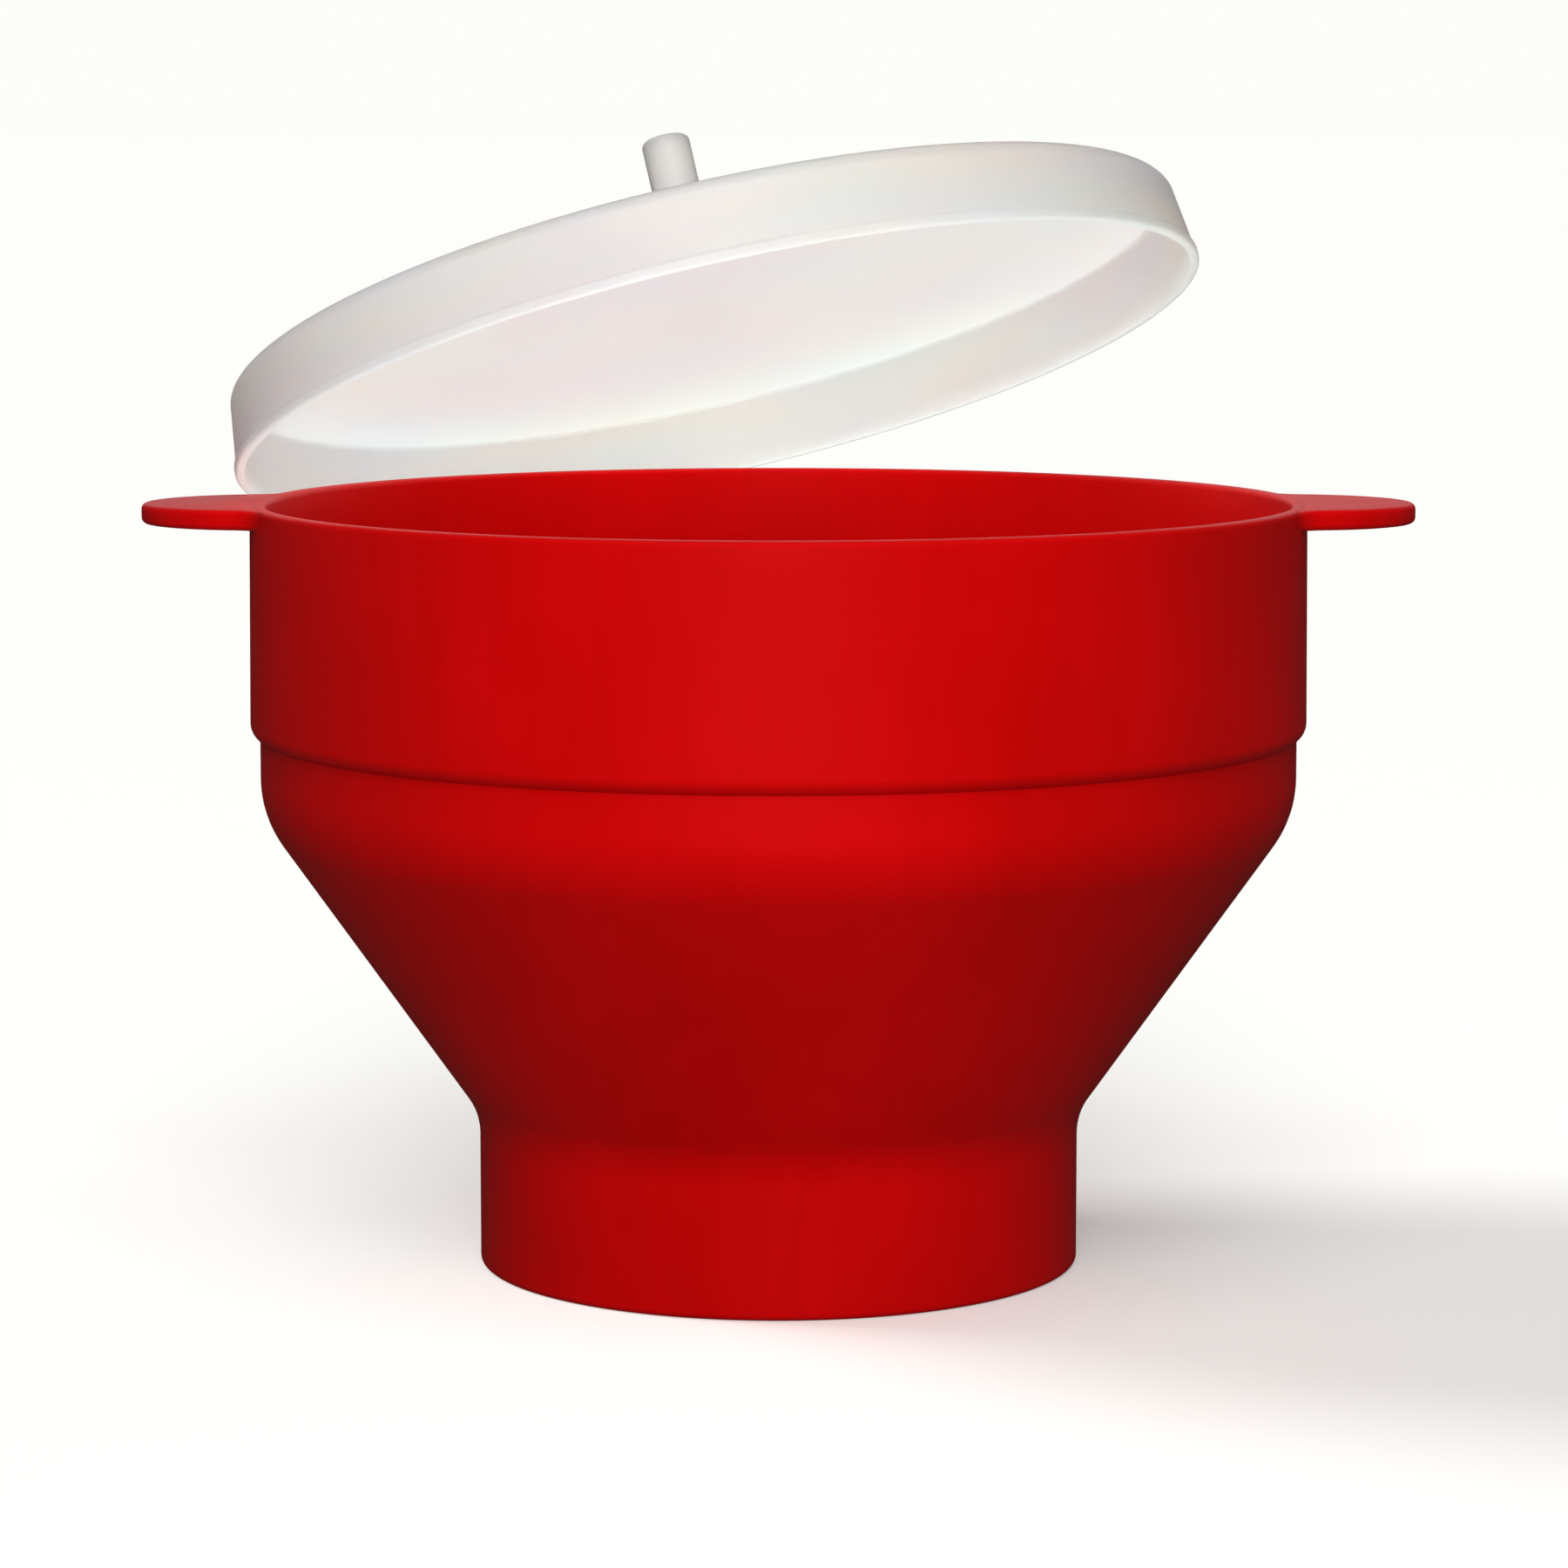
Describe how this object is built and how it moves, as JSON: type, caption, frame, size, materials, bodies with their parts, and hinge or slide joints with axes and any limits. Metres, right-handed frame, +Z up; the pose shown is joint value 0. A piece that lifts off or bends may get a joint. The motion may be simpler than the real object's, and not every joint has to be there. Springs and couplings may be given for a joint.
{
  "type": "popcorn maker",
  "caption": "Collapsible silicone microwave popcorn bowl with a straight rim band, half-moon tab handles, a folding cone wall, a base cup, and a loose frosted lid with a peg knob.",
  "frame": {"origin": "centre of the flat underside of the base cup, on the surface the bowl stands on", "axes": "+Z up along the bowl's axis, +X through the right handle, +Y towards the back, where the low side of the open lid is"},
  "size_m": [0.24, 0.2126, 0.2139],
  "materials": {
    "red_silicone": "satin moulded silicone",
    "frosted_lid": "frosted translucent moulding"
  },
  "bodies": {
    "base": {"base_cup": "red_silicone", "neck_cone": "red_silicone"},
    "fold_ring_1_body": {"fold_ring_1": "red_silicone"},
    "fold_ring_2_body": {"fold_ring_2": "red_silicone"},
    "fold_ring_3_body": {"fold_ring_3": "red_silicone"},
    "fold_ring_4_body": {"fold_ring_4": "red_silicone"},
    "rim": {"shoulder": "red_silicone", "rim_band": "red_silicone", "handle_left": "red_silicone", "handle_right": "red_silicone"},
    "lid": {"lid_cover": "frosted_lid", "lid_knob": "frosted_lid"}
  },
  "joints": [
    {"name": "collapse", "type": "slide", "parent": "base", "child": "rim", "axis": [0, 0, -1], "range_m": [0, 0.08]},
    {"name": "fold_ring_1_fold", "type": "slide", "parent": "base", "child": "fold_ring_1_body", "axis": [0, 0, -1], "range_m": [0, 0.0055]},
    {"name": "fold_ring_2_fold", "type": "slide", "parent": "base", "child": "fold_ring_2_body", "axis": [0, 0, -1], "range_m": [0, 0.0172]},
    {"name": "fold_ring_3_fold", "type": "slide", "parent": "base", "child": "fold_ring_3_body", "axis": [0, 0, -1], "range_m": [0, 0.0331]},
    {"name": "fold_ring_4_fold", "type": "slide", "parent": "base", "child": "fold_ring_4_body", "axis": [0, 0, -1], "range_m": [0, 0.0502]},
    {"name": "lid_lift", "type": "slide", "parent": "rim", "child": "lid", "axis": [0, 0, 1], "range_m": [0, 0.13]}
  ],
  "couplings": [
    {"joint": "fold_ring_1_fold", "follows": "collapse", "ratio": 0.061},
    {"joint": "fold_ring_2_fold", "follows": "collapse", "ratio": 0.208},
    {"joint": "fold_ring_3_fold", "follows": "collapse", "ratio": 0.406},
    {"joint": "fold_ring_4_fold", "follows": "collapse", "ratio": 0.62}
  ]
}
